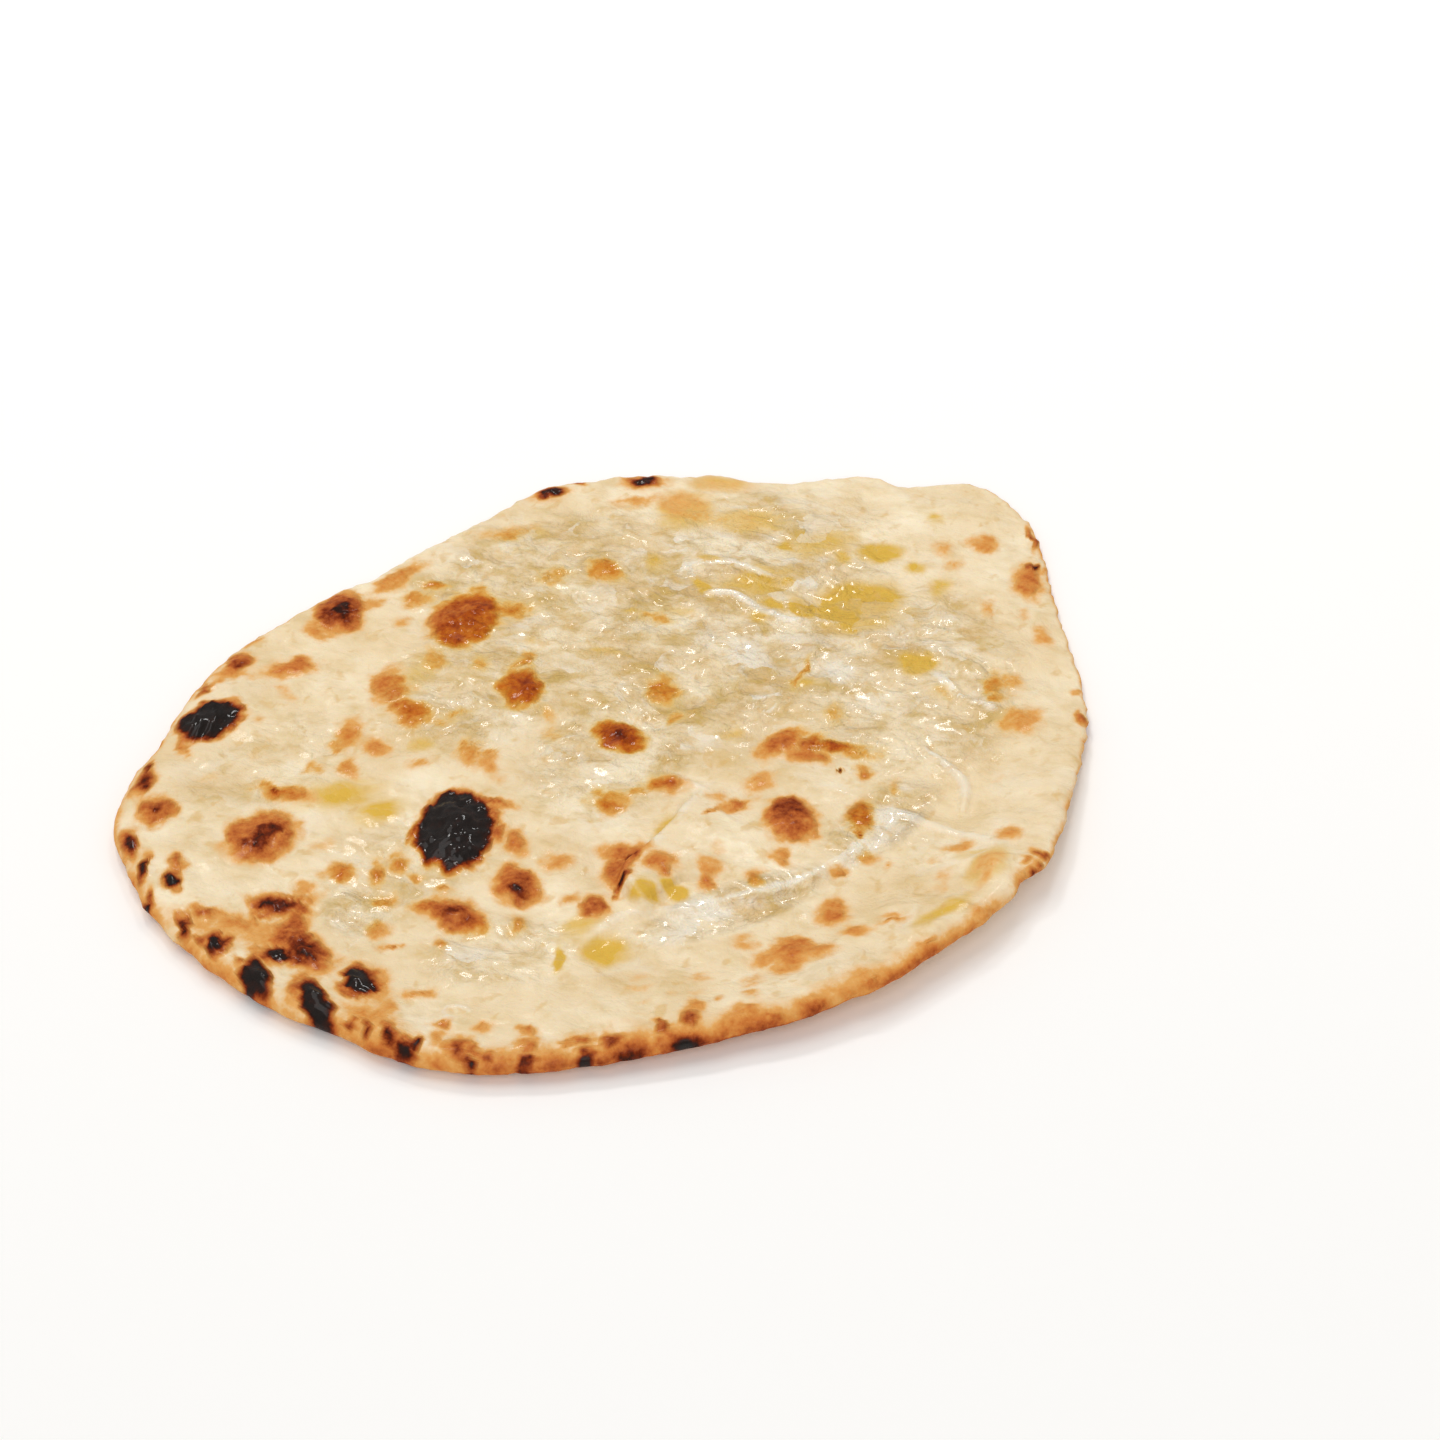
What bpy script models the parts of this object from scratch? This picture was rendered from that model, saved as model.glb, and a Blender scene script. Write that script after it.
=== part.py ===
# A hand-stretched naan: one soft, uneven round of baked dough lying on a flat surface.
# Its long side runs along X. The flat middle of its underside lies on z = 0, and its near edge is
# curled up off the surface. Lengths below are in millimetres.

import math

import bmesh
import bpy
import numpy as np

MM = 0.001

CELLS_PER_SIDE = 28  # squares along each side of the cube that the solid is shaped from
CURVE_STEPS = 8  # points put between two neighbouring points of the outline
CRUMB_THICKNESS = 4.3  # of the bread away from its edge
EDGE_BLEND = 24.0  # width over which that becomes the edge's own thickness
EDGE_ROUND = 0.95  # width of the edge's rounding, as a share of its thickness
LIFT_START = 0.66  # share of the way out where the underside leaves the surface

# The outer edge, anticlockwise from the blunt point at +X.
OUTLINE = [
    (139.0, 14.0), (138.4, 27.0), (129.6, 34.8), (120.8, 41.2), (117.0, 51.0), (107.0, 57.4),
    (97.0, 62.8), (89.5, 70.5), (84.0, 78.6), (75.0, 84.8), (67.5, 92.4), (52.0, 100.2),
    (40.0, 105.2), (18.0, 103.8), (-5.0, 103.6), (-22.0, 101.8), (-34.0, 103.0), (-56.0, 101.0),
    (-72.0, 98.4), (-90.5, 89.4), (-106.2, 79.0), (-123.0, 68.4), (-132.4, 56.0),
    (-136.4, 42.0), (-139.4, 28.0), (-139.4, 12.0), (-137.0, -6.0), (-133.6, -20.0),
    (-128.6, -31.6), (-122.0, -49.0), (-112.4, -62.6), (-96.0, -76.0), (-78.0, -86.4),
    (-58.0, -96.0), (-38.0, -103.4), (-18.0, -107.8), (4.0, -107.8), (20.0, -107.2),
    (28.0, -103.6), (37.0, -103.0), (52.0, -94.2), (68.0, -83.2), (85.0, -69.8), (97.0, -56.4),
    (106.8, -41.6), (118.0, -24.8), (129.2, -9.4), (136.4, 3.2),
]

# Around the edge, by its direction in degrees: the edge's thickness, and its height off the surface.
EDGE_THICKNESS = [
    (0, 3.0), (45, 3.0), (90, 3.6), (130, 4.6), (165, 5.6), (200, 6.4), (235, 6.6),
    (265, 6.0), (290, 5.2), (310, 3.6), (335, 2.8),
]
EDGE_LIFT = [
    (0, 0.5), (40, 0.7), (75, 1.6), (110, 1.2), (150, 0.8), (185, 0.5), (215, 0.8), (238, 2.4),
    (258, 4.6), (275, 5.6), (292, 5.8), (306, 4.4), (322, 1.8), (340, 0.6),
]

# Soft swells and hollows of the top: centre x and y, length, width, turn in degrees, height.
SWELLS = [
    (-84, -58, 84, 36, -36, 1.7), (2, -88, 108, 26, 2, 1.5), (0, -46, 64, 30, 8, 1.3),
    (-112, 34, 66, 40, 75, 1.1), (-40, 62, 90, 44, 14, 0.9), (60, 66, 70, 40, -30, 0.8),
    (94, -22, 64, 44, 55, 0.9), (27, -95, 20, 13, 30, 1.6), (-52, -22, 46, 30, 30, 0.9),
    (72, 12, 54, 34, 15, -1.1), (44, -30, 44, 30, -20, -0.7), (-100, -8, 30, 26, 0, -0.7),
    (24, 24, 46, 30, 25, 0.7), (-6, 4, 40, 24, 20, -0.5), (-24, -68, 60, 11, -5, -1.0),
    (-62, -50, 28, 14, 20, -0.9), (-118, -44, 24, 20, 60, 1.0), (-128, 30, 50, 10, 82, 0.8),
]

# Folds of the dough: each runs through its points, stands highest along its left-hand side,
# slopes off gently over "gentle" on that side and drops over "steep" on the other.
FOLDS = [
    {
        "points": [(-47, -52), (-46, -44), (-43, -35), (-36, -32), (-28, -31), (-16, -28), (-4, -27)],
        "height": -2.6, "gentle": 16.0, "steep": 3.0,
    },
    {
        "points": [
            (-78, -54), (-66, -49), (-52, -48), (-41, -54), (-28, -61), (-14, -65), (4, -66),
            (12, -63), (24, -58), (36, -55),
        ],
        "height": 1.7, "gentle": 13.0, "steep": 3.0,
    },
    {
        "points": [(46, 49), (53, 50), (58, 42), (63, 31), (69, 20)],
        "height": 1.5, "gentle": 10.0, "steep": 3.0,
    },
    {
        "points": [(38, -72), (46, -64), (48, -52), (44, -42)],
        "height": 1.0, "gentle": 8.0, "steep": 3.0,
    },
]

# Blisters of the top skin: centre x and y, length, width, turn in degrees, height.
BLISTERS = [
    (-63, 6, 32, 23, 36, 3.4), (-90, 79, 22, 14, 24, 2.2), (-104, 36, 26, 20, 20, 1.6),
    (-38, 95, 20, 16, 20, 1.6), (-11, 71, 28, 21, 20, 1.5), (-11, 7, 17, 12, 10, 1.2),
    (-66, -21, 15, 14, 0, 1.9), (-83, -19, 14, 19, -15, 1.5), (-18, 39, 19, 18, 10, 1.2),
    (3, -45, 19, 19, 0, 1.5), (24, -26, 24, 16, -45, 1.2), (-46, 58, 13, 22, -10, 1.0),
    (-28, -81, 21, 16, 0, 1.1), (118, -14, 14, 11, 45, 1.3), (-127, -24, 11, 20, -14, 1.7),
    (-132, -10, 10, 16, -18, 1.5), (-114, -23, 13, 14, 10, 1.6), (-119, -3, 17, 15, 20, 1.4),
    (-115, 12, 14, 12, 40, 1.2), (-118, 58, 14, 13, 20, 1.0), (-131, 53, 10, 13, -30, 1.0),
    (-133, 10, 10, 12, -20, 1.1), (64, 89, 14, 9, -25, 0.9), (78, -43, 15, 12, 0, 0.7),
    (73, -57, 14, 12, 0, 0.7), (-29, -11, 12, 13, 0, 0.8), (-12, -77, 12, 9, 30, 0.8),
]


def ease(value):
    """Goes smoothly from 0 to 1, and stays there on either side."""
    held = np.clip(value, 0.0, 1.0)
    return held * held * (3.0 - 2.0 * held)


def curve_through(points, closed):
    """Fills in a smooth curve between the given points."""
    places = np.array(points, float)
    count = len(places)
    spans = count if closed else count - 1
    filled = []
    for span in range(spans):
        picks = [span - 1, span, span + 1, span + 2]
        held = [i % count if closed else min(max(i, 0), count - 1) for i in picks]
        before, start, end, after = places[held]
        for step in range(CURVE_STEPS):
            t = step / CURVE_STEPS
            bend = (2 * before - 5 * start + 4 * end - after) * t**2
            twist = (3 * start - before - 3 * end + after) * t**3
            filled.append((2 * start + (end - before) * t + bend + twist) / 2)
    if not closed:
        filled.append(places[-1])
    return np.array(filled)


def reach_of_edge(angle):
    """Distance from the middle to the outer edge, in each direction."""
    edge = curve_through(OUTLINE, closed=True)
    angles = np.degrees(np.arctan2(edge[:, 1], edge[:, 0]))
    return np.interp(angle, angles, np.hypot(edge[:, 0], edge[:, 1]), period=360)


def around_edge(angle, stops):
    """Reads a size that is given at a few directions, smoothly in between."""
    ring = curve_through(stops + [(stops[0][0] + 360, stops[0][1])], closed=False)
    return np.interp(angle, ring[:, 0], ring[:, 1], period=360)


def dome(x, y, centre_x, centre_y, length, width, turn):
    """1 in the middle of an oval, falling smoothly to 0 at its rim."""
    cosine = math.cos(math.radians(turn))
    sine = math.sin(math.radians(turn))
    along = (x - centre_x) * cosine + (y - centre_y) * sine
    across = (y - centre_y) * cosine - (x - centre_x) * sine
    inside = 1.0 - (2.0 * along / length) ** 2 - (2.0 * across / width) ** 2
    return np.clip(inside, 0.0, 1.0) ** 2


def beside_line(x, y, points):
    """Signed distance from a line, positive on its left, and the share of the way along it."""
    line = curve_through(points, closed=False)
    nearest = np.full(x.shape, np.inf)
    signed = np.zeros(x.shape)
    share = np.zeros(x.shape)
    for number in range(len(line) - 1):
        start = line[number]
        run = line[number + 1] - start
        along = np.clip(((x - start[0]) * run[0] + (y - start[1]) * run[1]) / (run @ run), 0.0, 1.0)
        off_x = x - start[0] - along * run[0]
        off_y = y - start[1] - along * run[1]
        distance = np.hypot(off_x, off_y)
        closer = distance < nearest
        nearest = np.where(closer, distance, nearest)
        signed = np.where(closer, distance * np.sign(run[0] * off_y - run[1] * off_x), signed)
        share = np.where(closer, (number + along) / (len(line) - 1), share)
    return signed, share


def fold_height(x, y, fold):
    """Height of one fold: a lip with a gentle slope behind it and a steep drop in front."""
    signed, share = beside_line(x, y, fold["points"])
    signed = signed * math.copysign(1.0, fold["height"])
    slope = np.where(signed > 0.0, fold["gentle"], fold["steep"])
    fade = ease(share / 0.15) * ease((1.0 - share) / 0.3)
    return abs(fold["height"]) * np.exp(-((signed / slope) ** 2)) * fade


def relief(x, y):
    """Height that swells, folds and blisters add to the top."""
    height = np.zeros(x.shape)
    for *oval, rise in SWELLS:
        height += rise * dome(x, y, *oval)
    for fold in FOLDS:
        height += fold_height(x, y, fold)
    for *oval, rise in BLISTERS:
        height += rise * dome(x, y, *oval)
    return height


def shape_bread(directions):
    """Turns points of a unit sphere into points of the bread: its upper half becomes the top."""
    angle = np.degrees(np.arctan2(directions[:, 1], directions[:, 0]))
    share = np.sqrt(1.0 - np.abs(directions[:, 2]))
    reach = reach_of_edge(angle)
    x = share * reach * np.cos(np.radians(angle))
    y = share * reach * np.sin(np.radians(angle))

    from_edge = (1.0 - share) * reach
    at_edge = around_edge(angle, EDGE_THICKNESS)
    thickness = at_edge + (CRUMB_THICKNESS - at_edge) * ease(from_edge / EDGE_BLEND)
    underside = around_edge(angle, EDGE_LIFT) * ease((share - LIFT_START) / (1.0 - LIFT_START)) ** 2
    rounding = np.clip(from_edge / (EDGE_ROUND * at_edge), 0.0, 1.0)
    fullness = np.sqrt(1.0 - (1.0 - rounding) ** 2)

    above = fullness * (thickness / 2.0 + relief(x, y) * ease(from_edge / 6.0))
    below = fullness * thickness / 2.0
    side = np.where(directions[:, 2] >= 0.0, above, -below)
    return np.column_stack([x, y, underside + thickness / 2.0 + side])


def sphere_directions(corners):
    """Spreads the points of a cube with sides of 2 evenly over a unit sphere."""
    spread = np.tan(corners * math.pi / 4.0)
    return spread / np.linalg.norm(spread, axis=1)[:, None]


def centred(places):
    """Moves the bread so that its box stands in the middle of the origin, on z = 0."""
    low = places.min(axis=0)
    high = places.max(axis=0)
    return places - np.array([(low[0] + high[0]) / 2.0, (low[1] + high[1]) / 2.0, low[2]])


def crust_material():
    material = bpy.data.materials.new("baked_crust")
    material.use_nodes = True
    shader = material.node_tree.nodes["Principled BSDF"]
    shader.inputs["Base Color"].default_value = (0.78, 0.60, 0.36, 1.0)
    shader.inputs["Roughness"].default_value = 0.5
    shader.inputs["Metallic"].default_value = 0.0
    return material


def make_naan(collection):
    model = bmesh.new()
    bmesh.ops.create_cube(model, size=2.0)
    bmesh.ops.subdivide_edges(model, edges=model.edges[:], cuts=CELLS_PER_SIDE - 1, use_grid_fill=True)
    corners = np.array([vertex.co[:] for vertex in model.verts])
    places = centred(shape_bread(sphere_directions(corners))) * MM
    for vertex, place in zip(model.verts, places):
        vertex.co = place
    bmesh.ops.recalc_face_normals(model, faces=model.faces[:])

    mesh = bpy.data.meshes.new("naan")
    model.to_mesh(mesh)
    model.free()
    mesh.shade_smooth()
    mesh.materials.append(crust_material())
    naan = bpy.data.objects.new("naan", mesh)
    collection.objects.link(naan)


def main():
    for old in list(bpy.data.objects):
        bpy.data.objects.remove(old, do_unlink=True)
    collection = bpy.data.collections.new("naan_bread")
    bpy.context.scene.collection.children.link(collection)
    make_naan(collection)


main()
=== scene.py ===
import math
import random

import bmesh
import bpy
import numpy as np
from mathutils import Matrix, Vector, noise


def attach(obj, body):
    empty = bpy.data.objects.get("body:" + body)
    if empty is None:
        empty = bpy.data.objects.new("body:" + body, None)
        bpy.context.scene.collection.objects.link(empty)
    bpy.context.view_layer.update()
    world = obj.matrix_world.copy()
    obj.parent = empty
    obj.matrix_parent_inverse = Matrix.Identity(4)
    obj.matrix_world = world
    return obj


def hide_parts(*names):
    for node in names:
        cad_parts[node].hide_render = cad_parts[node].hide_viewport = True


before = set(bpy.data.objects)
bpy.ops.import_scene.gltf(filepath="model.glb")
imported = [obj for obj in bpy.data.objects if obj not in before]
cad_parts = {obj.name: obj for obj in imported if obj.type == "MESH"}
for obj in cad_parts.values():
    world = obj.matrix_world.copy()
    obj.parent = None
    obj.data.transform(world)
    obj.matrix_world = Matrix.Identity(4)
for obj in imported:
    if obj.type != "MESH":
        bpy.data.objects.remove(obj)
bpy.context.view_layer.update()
mm = 0.001
print("frame loaded")

# Lengths in the dictionaries are in millimetres, places are (x, y) on the surface the bread lies on,
# turns and directions are in degrees. An oval is x, y, length, width, turn.

bread = {
    "cells": 128,  # squares along each side of the cube the bread is shaped from
    "topShare": 0.5,  # how far out the cube's top face reaches, as a share of the way to the edge
    "topSpread": 1.3,  # above 1 draws the rows together towards the edge
    "edgeRow": 92,  # the row of the cube's sides that becomes the outer edge
    "underShare": 0.6,  # how far out the cube's bottom face reaches
    "underSpread": 1.4,  # the same as topSpread, underneath
    "crumb": 4.3,  # thickness away from the edge
    "edgeBlend": 24.0,  # width over which that becomes the edge's own thickness
    "edgeRound": 0.95,  # width of the edge's rounding, as a share of its thickness
    "liftStart": 0.66,  # share of the way out where the underside leaves the surface
    "reliefStart": 5.0,  # how far in from the edge the folds and swells reach their full height
    "underHollow": 0.7,  # how far the underside's hollows go in
    "underHollowSize": 9.0,
    "ragged": 0.7,  # how far the outer edge wanders in and out
    "raggedSize": 7.0,
    "fineRaggedSize": 2.6,  # the small notches, shallower where the edge is thick
    "smoothEdge": 6.0,  # the edge is this thick where the notches are shallowest
    # the outer edge, anticlockwise from the blunt tip
    "outline": [
        (139.0, 14.0), (138.4, 27.0), (129.6, 34.8), (120.8, 41.2), (117.0, 51.0), (107.0, 57.4),
        (97.0, 62.8), (89.5, 70.5), (84.0, 78.6), (75.0, 84.8), (67.5, 92.4), (52.0, 100.2),
        (40.0, 105.2), (18.0, 103.8), (-5.0, 103.6), (-22.0, 101.8), (-34.0, 103.0), (-56.0, 101.0),
        (-72.0, 98.4), (-90.5, 89.4), (-106.2, 79.0), (-123.0, 68.4), (-132.4, 56.0),
        (-136.4, 42.0), (-139.4, 28.0), (-139.4, 12.0), (-137.0, -6.0), (-133.6, -20.0),
        (-128.6, -31.6), (-122.0, -49.0), (-112.4, -62.6), (-96.0, -76.0), (-78.0, -86.4),
        (-58.0, -96.0), (-38.0, -103.4), (-18.0, -107.8), (4.0, -107.8), (20.0, -107.2),
        (28.0, -103.6), (37.0, -103.0), (52.0, -94.2), (68.0, -83.2), (85.0, -69.8), (97.0, -56.4),
        (106.8, -41.6), (118.0, -24.8), (129.2, -9.4), (136.4, 3.2),
    ],
    # direction and size pairs round the edge
    "edgeThickness": [
        (0, 3.0), (45, 3.0), (90, 3.6), (130, 4.6), (165, 5.6), (200, 6.4), (235, 6.6), (265, 6.0),
        (290, 5.2), (310, 3.6), (335, 2.8),
    ],
    "edgeLift": [
        (0, 0.5), (40, 0.7), (75, 1.6), (110, 1.2), (150, 0.8), (185, 0.5), (215, 0.8), (238, 2.4),
        (258, 4.6), (275, 5.6), (292, 5.8), (306, 4.4), (322, 1.8), (340, 0.6),
    ],
    # soft swells and hollows: an oval and its height
    "swells": [
        (-84, -58, 84, 36, -36, 1.7), (2, -88, 108, 26, 2, 1.5), (0, -46, 64, 30, 8, 1.3),
        (-112, 34, 66, 40, 75, 1.1), (-40, 62, 90, 44, 14, 0.9), (60, 66, 70, 40, -30, 0.8),
        (94, -22, 64, 44, 55, 0.9), (27, -95, 20, 13, 30, 1.6), (9, -100, 13, 8, 8, 0.8),
        (-6, -101, 11, 7, -5, 0.7), (23, -97, 12, 9, 29, 0.7), (0, -103, 15, 7, -30, 0.7),
        (20, -87, 13, 8, -30, 0.6), (-52, -22, 46, 30, 30, 0.9), (72, 12, 54, 34, 15, -1.1),
        (44, -30, 44, 30, -20, -0.7), (-100, -8, 30, 26, 0, -0.7), (24, 24, 46, 30, 25, 0.7),
        (-6, 4, 40, 24, 20, -0.5), (-24, -68, 60, 11, -5, -1.0), (-62, -50, 28, 14, 20, -0.9),
        (-118, -44, 24, 20, 60, 1.0), (-128, 30, 50, 10, 82, 0.8),
    ],
    # folds: a line, its height, and how far it slopes off gently on its left and steeply on its
    # right (the other way round if the height is negative)
    "folds": [
        ([(-46, -52), (-47, -46), (-43, -36.5), (-34, -34), (-23, -31), (-13, -26.5), (-2, -25)],
         -3.4, 15.0, 1.2),
        ([(-78, -54), (-66, -49), (-52, -48), (-45, -51), (-41, -54), (-31, -59), (-21, -63), (-9, -66.6),
          (1, -67.2), (12, -65), (24, -60), (36, -56)], 1.3, 12.0, 1.5),
        ([(44, 50), (48, 48), (57.5, 41.4), (60.5, 33), (65, 25), (69.6, 19), (71.4, 10)], 1.7, 9.0, 1.2),
    ],
    "lipHighlightPlace": 0.6,  # painted highlight along the lip of a fold, just behind its line
    "lipHighlightWidth": 1.3,
    "foldEnds": (0.15, 0.3),  # the shares of its length over which a fold rises and dies away
    # thin creases in the skin: a line, its height and its half width
    "creases": [
        ([(24, -60), (27, -70), (31, -82), (34, -94)], 0.9, 1.3),
        ([(46, -43), (46.2, -53), (45.8, -60), (44.3, -66), (38.6, -72), (35, -73.5)], 1.4, 1.2),
        ([(43.8, 38.8), (50, 32.5), (51.3, 22), (54.7, 13.6), (60, 8)], 1.3, 1.1),
        ([(60.3, 20), (60.2, 13), (60.9, 9), (66, 1)], 0.7, 1.1),
        ([(23.3, -2.4), (28, -7.4), (33, -8.2)], 0.6, 0.7),
        ([(22.6, -5.2), (25, -11.7), (30.4, -10)], 0.6, 0.7),
        ([(69, -26), (69, -36), (67.4, -41), (70, -46.7), (72.5, -51)], 1.2, 1.1),
        ([(-17.7, -104), (-17, -98), (-17, -93)], -0.8, 0.9),
        ([(-110.5, -52), (-106, -48), (-103.4, -52)], 0.6, 0.8),
        ([(-7, -26), (-9, -20), (-12, -14)], 0.7, 1.2),
        ([(-47, -44), (-50, -36), (-46, -28), (-38, -24)], -0.7, 2.2),
        ([(14, -40), (20, -52), (18, -62)], 0.4, 1.6),
        ([(5, -92), (-4, -97), (-8, -101)], 0.5, 1.2),
        ([(-103, -55), (-106.5, -50), (-104, -46), (-100.5, -49), (-102, -54)], 0.8, 0.8),
    ],
    "creaseEnds": (0.2, 0.2),
    "wrinkle": 1.1,  # height of the wet skin's wrinkles
    "wrinkleSize": 7.0,
    "wrinkleSharpness": 1.7,
    "wrinkleBend": 5.0,  # how far the wrinkles' lines wander
    "wrinkleBendSize": 14.0,
    "smoothPatchSize": 17.0,  # places between the wrinkles where the skin lies smoother
    "dimple": 0.5,  # unevenness of the dry skin
    "dimpleSize": 10.0,
    "crackle": 1.2,  # height of the wrinkles on scorched skin
    "crackleSize": 4.2,
    "grain": -55.0,  # the direction the wrinkles run in
}
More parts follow.
